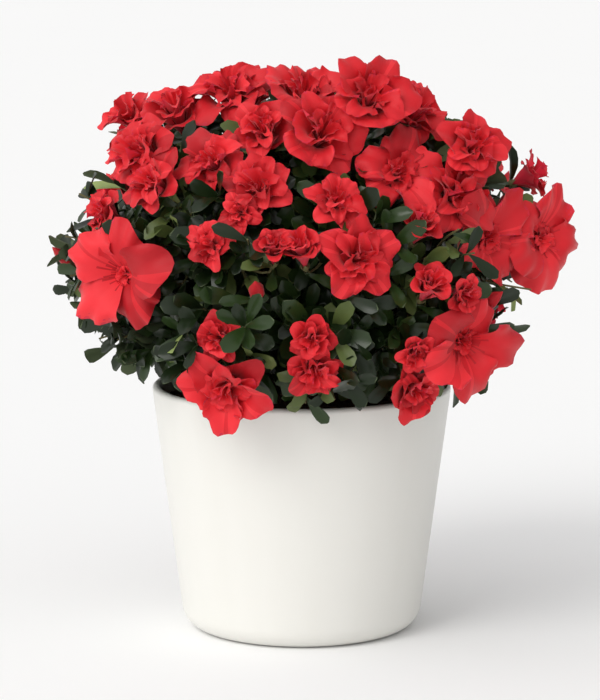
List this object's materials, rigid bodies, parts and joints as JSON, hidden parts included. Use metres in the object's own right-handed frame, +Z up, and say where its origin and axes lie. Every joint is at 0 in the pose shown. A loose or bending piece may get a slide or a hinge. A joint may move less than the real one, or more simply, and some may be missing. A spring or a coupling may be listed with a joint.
{
  "type": "potted azalea shrub",
  "caption": "Rounded flowering azalea shrub with double blooms over dark leaves, in a plain round tapered glazed pot that stands on its flat foot",
  "frame": {"origin": "the centre of the pot's flat underside, on the surface that it stands on", "axes": "+Z up along the pot's axis; -Y is the front, the side from which the plant is shown; +X is to the right seen from the front"},
  "size_m": [0.3166, 0.2943, 0.3468],
  "materials": {
    "pot": "satin warm white glaze",
    "soil": "matte crumbly potting peat",
    "bark": "matte brown bark",
    "foliage": "soft red petals over dark green leaves"
  },
  "bodies": {
    "root": {"pot": "pot", "soil": "soil", "trunk": "bark", "foliage_top": "foliage", "bough_upper_1": "bark", "foliage_upper_1": "foliage", "bough_upper_2": "bark", "foliage_upper_2": "foliage", "bough_upper_3": "bark", "foliage_upper_3": "foliage", "bough_upper_4": "bark", "foliage_upper_4": "foliage", "bough_upper_5": "bark", "foliage_upper_5": "foliage", "bough_upper_6": "bark", "foliage_upper_6": "foliage", "bough_upper_7": "bark", "foliage_upper_7": "foliage", "bough_middle_1": "bark", "foliage_middle_1": "foliage", "bough_middle_2": "bark", "foliage_middle_2": "foliage", "bough_middle_3": "bark", "foliage_middle_3": "foliage", "bough_middle_4": "bark", "foliage_middle_4": "foliage", "bough_middle_5": "bark", "foliage_middle_5": "foliage", "bough_middle_6": "bark", "foliage_middle_6": "foliage", "bough_middle_7": "bark", "foliage_middle_7": "foliage", "bough_middle_8": "bark", "foliage_middle_8": "foliage", "bough_middle_9": "bark", "foliage_middle_9": "foliage", "bough_middle_10": "bark", "foliage_middle_10": "foliage", "bough_middle_11": "bark", "foliage_middle_11": "foliage", "bough_middle_12": "bark", "foliage_middle_12": "foliage", "bough_middle_13": "bark", "foliage_middle_13": "foliage", "bough_low_1": "bark", "foliage_low_1": "foliage", "bough_low_2": "bark", "foliage_low_2": "foliage", "bough_low_3": "bark", "foliage_low_3": "foliage", "bough_low_4": "bark", "foliage_low_4": "foliage", "bough_low_5": "bark", "foliage_low_5": "foliage", "bough_low_6": "bark", "foliage_low_6": "foliage", "bough_low_7": "bark", "foliage_low_7": "foliage"}
  },
  "joints": []
}
